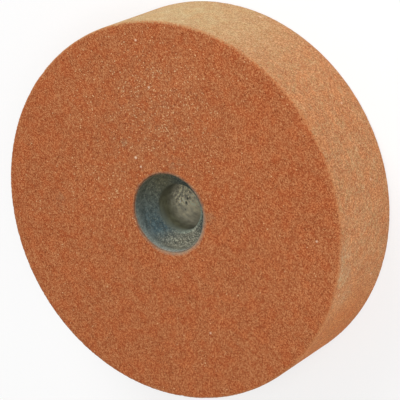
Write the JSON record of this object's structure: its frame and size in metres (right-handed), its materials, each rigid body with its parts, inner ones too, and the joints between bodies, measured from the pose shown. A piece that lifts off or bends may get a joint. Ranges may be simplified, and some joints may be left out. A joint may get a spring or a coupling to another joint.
{
  "type": "grinding wheel",
  "caption": "Straight grinding wheel of bonded abrasive, with a grey cast bush set back in a recess on one face and bored through for a spindle.",
  "frame": {"origin": "middle of the back face, which the wheel lies on", "axes": "+Z along the spindle axis, out of the front face with the recess"},
  "size_m": [0.15, 0.15, 0.0395],
  "materials": {
    "bonded_abrasive": "rough, open-grained, fired",
    "bush_filler": "cast, matt, granular"
  },
  "bodies": {
    "root": {"abrasive_wheel": "bonded_abrasive", "cast_bush": "bush_filler"}
  },
  "joints": []
}
